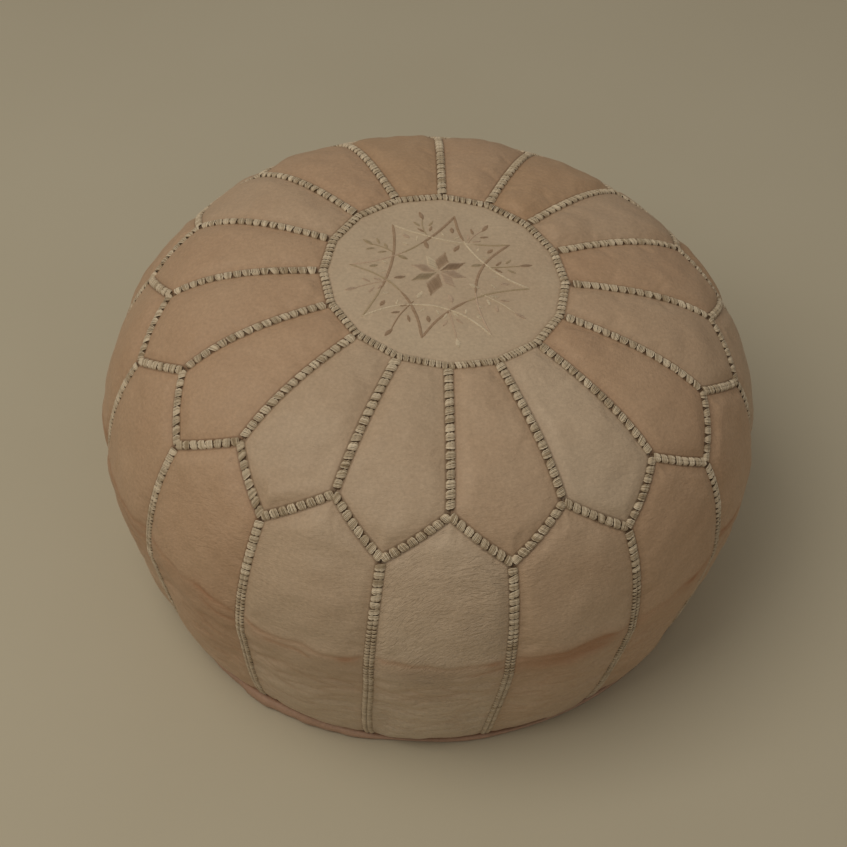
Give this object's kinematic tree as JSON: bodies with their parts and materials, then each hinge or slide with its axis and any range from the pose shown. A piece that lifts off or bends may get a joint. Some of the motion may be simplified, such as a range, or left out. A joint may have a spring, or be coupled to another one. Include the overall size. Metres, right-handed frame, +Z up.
{
  "type": "moroccan leather pouf",
  "caption": "Round leather floor pouf: pointed top and side panels round an embroidered medallion, cord-stitched seams, stuffed, with a zip across its base.",
  "frame": {"origin": "centre of the circle that the base stands on, at floor level", "axes": "+Z up through the medallion; -Y is the front, the side facing the viewer; the zip runs along X"},
  "size_m": [0.52, 0.52, 0.2853],
  "materials": {
    "panel_leather": "natural undyed goat leather, fine grain, soft satin",
    "medallion_leather": "natural undyed goat leather, slightly paler, smooth satin",
    "base_leather": "natural leather, pinkish brown, flesh side, dull",
    "seam_thread": "twisted beige thread, slight sheen",
    "embroidery_thread": "satin-stitched silky thread, tone on tone",
    "lining_cotton": "plain woven cotton",
    "wadding": "cotton wadding",
    "zip_tape": "woven tape",
    "zip_coil": "nylon coil",
    "zip_metal": "worn brass"
  },
  "bodies": {
    "cover": {"medallion": "medallion_leather", "embroidered_star": "embroidery_thread", "embroidered_rosette": "embroidery_thread", "top_panel_01": "panel_leather", "top_panel_02": "panel_leather", "top_panel_03": "panel_leather", "top_panel_04": "panel_leather", "top_panel_05": "panel_leather", "top_panel_06": "panel_leather", "top_panel_07": "panel_leather", "top_panel_08": "panel_leather", "top_panel_09": "panel_leather", "top_panel_10": "panel_leather", "top_panel_11": "panel_leather", "top_panel_12": "panel_leather", "top_panel_13": "panel_leather", "top_panel_14": "panel_leather", "top_panel_15": "panel_leather", "top_panel_16": "panel_leather", "side_panel_01": "panel_leather", "side_panel_02": "panel_leather", "side_panel_03": "panel_leather", "side_panel_04": "panel_leather", "side_panel_05": "panel_leather", "side_panel_06": "panel_leather", "side_panel_07": "panel_leather", "side_panel_08": "panel_leather", "side_panel_09": "panel_leather", "side_panel_10": "panel_leather", "side_panel_11": "panel_leather", "side_panel_12": "panel_leather", "side_panel_13": "panel_leather", "side_panel_14": "panel_leather", "side_panel_15": "panel_leather", "side_panel_16": "panel_leather", "top_seam_stitching": "seam_thread", "side_seam_stitching": "seam_thread", "base_panel_front": "base_leather", "base_panel_back": "base_leather", "base_rim": "base_leather", "zip_tape_front": "zip_tape", "zip_tape_back": "zip_tape", "zip_coil_front": "zip_coil", "zip_coil_back": "zip_coil", "zip_closed_stop": "zip_metal", "zip_open_stop": "zip_metal", "lining_bag": "lining_cotton", "stuffing": "wadding"},
    "slider": {"zip_slider": "zip_metal"},
    "pull": {"zip_pull": "zip_metal"}
  },
  "joints": [
    {"name": "zip_slide", "type": "slide", "parent": "cover", "child": "slider", "axis": [1, 0, 0], "range_m": [0, 0.264]},
    {"name": "pull_swing", "type": "hinge", "parent": "slider", "child": "pull", "pos_m": [-0.134, 0, 0.0089], "axis": [0, 1, 0], "range_deg": [-12, 128]}
  ]
}
